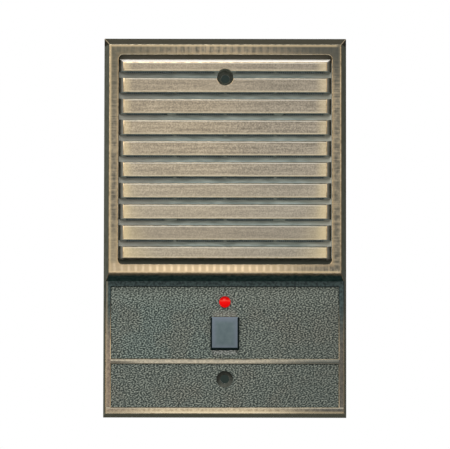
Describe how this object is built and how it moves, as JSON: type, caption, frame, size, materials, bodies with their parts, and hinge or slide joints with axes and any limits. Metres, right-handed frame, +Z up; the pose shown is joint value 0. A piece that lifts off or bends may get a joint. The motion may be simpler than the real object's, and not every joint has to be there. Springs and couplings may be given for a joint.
{
  "type": "intercom door speaker",
  "caption": "Wall-mounted intercom door speaker: louvred antique-brass die casting over a small loudspeaker, with a lit indicator, a sprung call button and rear screw terminals.",
  "frame": {"origin": "centre of the casting's back rim, on the wall plane", "axes": "+Z up, +Y into the wall, +X to the right as seen from the front; the louvred face looks along -Y"},
  "size_m": [0.124, 0.0366, 0.194],
  "materials": {
    "antique_brass": "antique brass plate on a zinc die casting, buffed bright on the raised faces and dark in the recesses",
    "screen_black": "fine black wire gauze",
    "gasket_foam": "closed-cell foam",
    "basket_steel": "pressed steel with bright zinc plate",
    "edge_card": "grey-brown card",
    "surround_cloth": "treated black cloth",
    "cone_paper": "black felted paper",
    "cap_paper": "black pressed paper",
    "former_paper": "brown kraft paper",
    "coil_copper": "enamelled copper wire",
    "spider_cloth": "resin-dipped cloth",
    "tinsel_braid": "woven tinsel braid",
    "pole_steel": "turned steel with zinc plate",
    "magnet_ferrite": "ground dark grey ferrite",
    "tag_laminate": "brown paper laminate",
    "tag_tin": "tinned brass",
    "rivet_brass": "bare brass",
    "screw_steel": "zinc-plated steel",
    "button_slate": "slate grey moulded plastic with a fine satin texture",
    "plunger_ivory": "ivory moulded plastic",
    "spring_steel": "drawn spring wire",
    "guide_black": "black moulded plastic",
    "switch_black": "black moulded plastic",
    "lens_red": "red translucent moulding",
    "lamp_red": "red tinted epoxy",
    "board_laminate": "tan paper laminate",
    "block_black": "black phenolic moulding",
    "contact_brass": "stamped brass",
    "clamp_steel": "stamped plated steel",
    "resistor_coat": "tan lacquer with tinned wires",
    "capacitor_sleeve": "dark blue shrink sleeve",
    "lead_red": "red insulation",
    "lead_black": "black insulation"
  },
  "bodies": {
    "plate": {"faceplate": "antique_brass", "grille_screen": "screen_black", "speaker_gasket": "gasket_foam", "speaker_basket": "basket_steel", "cone_edge_ring": "edge_card", "cone_surround": "surround_cloth", "spider": "spider_cloth", "tinsel_leads": "tinsel_braid", "front_pole_plate": "pole_steel", "ring_magnet": "magnet_ferrite", "pole_yoke": "pole_steel", "tag_board": "tag_laminate", "solder_tags": "tag_tin", "tag_rivets": "rivet_brass", "speaker_screws": "screw_steel", "button_spring": "spring_steel", "button_guide": "guide_black", "momentary_switch": "switch_black", "led_lens": "lens_red", "led_lamp": "lamp_red", "led_legs": "tag_tin", "circuit_board": "board_laminate", "board_screws": "screw_steel", "terminal_block": "block_black", "terminal_plates": "contact_brass", "wire_clamps": "clamp_steel", "terminal_screws": "contact_brass", "resistor": "resistor_coat", "capacitor": "capacitor_sleeve", "speaker_lead_red": "lead_red", "speaker_lead_black": "lead_black"},
    "button": {"push_button": "button_slate", "switch_plunger": "plunger_ivory"},
    "cone": {"speaker_cone": "cone_paper", "dust_cap": "cap_paper", "voice_coil_former": "former_paper", "voice_coil_winding": "coil_copper"}
  },
  "joints": [
    {"name": "button_press", "type": "slide", "parent": "plate", "child": "button", "axis": [0, 1, 0], "range_m": [0, 0.0015], "stiffness_N_per_m": 1000, "springref_m": -0.001, "deforming": ["button_spring"]},
    {"name": "cone_travel", "type": "slide", "parent": "plate", "child": "cone", "axis": [0, 1, 0], "range_m": [-0.0008, 0.0008], "stiffness_N_per_m": 1200, "deforming": ["cone_surround", "spider", "tinsel_leads"]}
  ]
}
